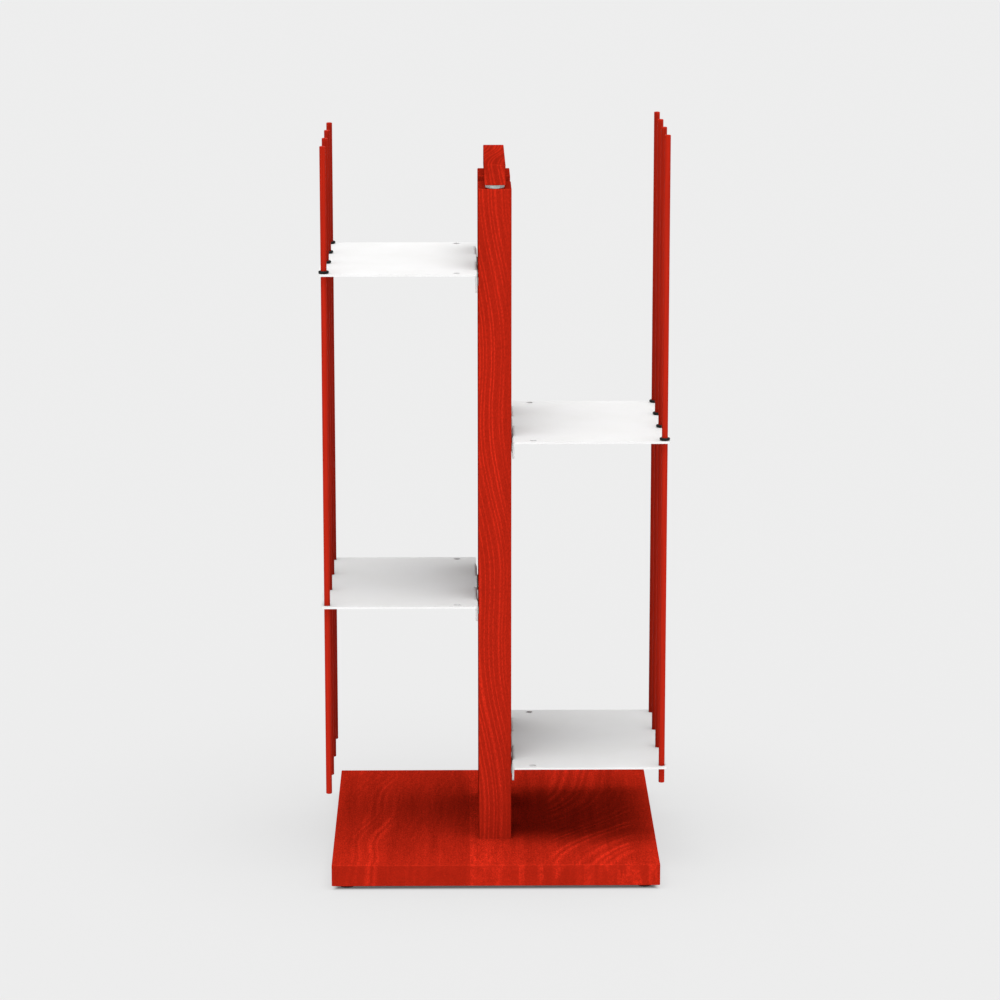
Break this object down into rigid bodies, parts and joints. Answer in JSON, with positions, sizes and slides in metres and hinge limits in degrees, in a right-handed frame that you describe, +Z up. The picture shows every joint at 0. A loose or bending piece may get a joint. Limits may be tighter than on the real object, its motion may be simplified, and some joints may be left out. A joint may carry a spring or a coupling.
{
  "type": "spine bookshelf",
  "caption": "Free-standing spine bookshelf: wooden posts on a square base carry folded sheet-metal shelves on alternate sides, guarded by loose lift-out rods.",
  "frame": {"origin": "on the floor under the middle of the base board", "axes": "+Z up, -Y to the front that the picture shows, +X to its right"},
  "size_m": [0.349, 0.33, 0.752],
  "materials": {
    "stained_ash": "red stain, sanded, matt",
    "painted_beech": "red paint, matt",
    "white_enamel": "white powder coat",
    "satin_steel": "turned, satin",
    "zinc_screw": "bright zinc",
    "clear_nylon": "moulded, milky",
    "ring_rubber": "matt black",
    "pad_rubber": "matt black"
  },
  "bodies": {
    "frame": {"base_board": "stained_ash", "base_screws": "zinc_screw", "front_post": "stained_ash", "rear_post": "stained_ash", "carry_bar": "stained_ash", "front_spacer": "satin_steel", "rear_spacer": "satin_steel", "bar_studs": "zinc_screw", "front_left_pad": "pad_rubber", "front_right_pad": "pad_rubber", "rear_left_pad": "pad_rubber", "rear_right_pad": "pad_rubber", "right_lower_shelf": "white_enamel", "right_lower_screws": "zinc_screw", "right_lower_washers": "clear_nylon", "left_lower_shelf": "white_enamel", "left_lower_screws": "zinc_screw", "left_lower_washers": "clear_nylon", "right_upper_shelf": "white_enamel", "right_upper_screws": "zinc_screw", "right_upper_washers": "clear_nylon", "left_upper_shelf": "white_enamel", "left_upper_screws": "zinc_screw", "left_upper_washers": "clear_nylon"},
    "left_rod_1": {"left_rod_1": "painted_beech", "left_ring_1": "ring_rubber"},
    "left_rod_2": {"left_rod_2": "painted_beech", "left_ring_2": "ring_rubber"},
    "left_rod_3": {"left_rod_3": "painted_beech", "left_ring_3": "ring_rubber"},
    "left_rod_4": {"left_rod_4": "painted_beech", "left_ring_4": "ring_rubber"},
    "right_rod_1": {"right_rod_1": "painted_beech", "right_ring_1": "ring_rubber"},
    "right_rod_2": {"right_rod_2": "painted_beech", "right_ring_2": "ring_rubber"},
    "right_rod_3": {"right_rod_3": "painted_beech", "right_ring_3": "ring_rubber"},
    "right_rod_4": {"right_rod_4": "painted_beech", "right_ring_4": "ring_rubber"}
  },
  "joints": [
    {"name": "left_rod_1_lift", "type": "slide", "parent": "frame", "child": "left_rod_1", "axis": [0, 0, 1], "range_m": [0, 0.535]},
    {"name": "left_rod_2_lift", "type": "slide", "parent": "frame", "child": "left_rod_2", "axis": [0, 0, 1], "range_m": [0, 0.535]},
    {"name": "left_rod_3_lift", "type": "slide", "parent": "frame", "child": "left_rod_3", "axis": [0, 0, 1], "range_m": [0, 0.535]},
    {"name": "left_rod_4_lift", "type": "slide", "parent": "frame", "child": "left_rod_4", "axis": [0, 0, 1], "range_m": [0, 0.535]},
    {"name": "right_rod_1_lift", "type": "slide", "parent": "frame", "child": "right_rod_1", "axis": [0, 0, 1], "range_m": [0, 0.356]},
    {"name": "right_rod_2_lift", "type": "slide", "parent": "frame", "child": "right_rod_2", "axis": [0, 0, 1], "range_m": [0, 0.356]},
    {"name": "right_rod_3_lift", "type": "slide", "parent": "frame", "child": "right_rod_3", "axis": [0, 0, 1], "range_m": [0, 0.356]},
    {"name": "right_rod_4_lift", "type": "slide", "parent": "frame", "child": "right_rod_4", "axis": [0, 0, 1], "range_m": [0, 0.356]}
  ]
}
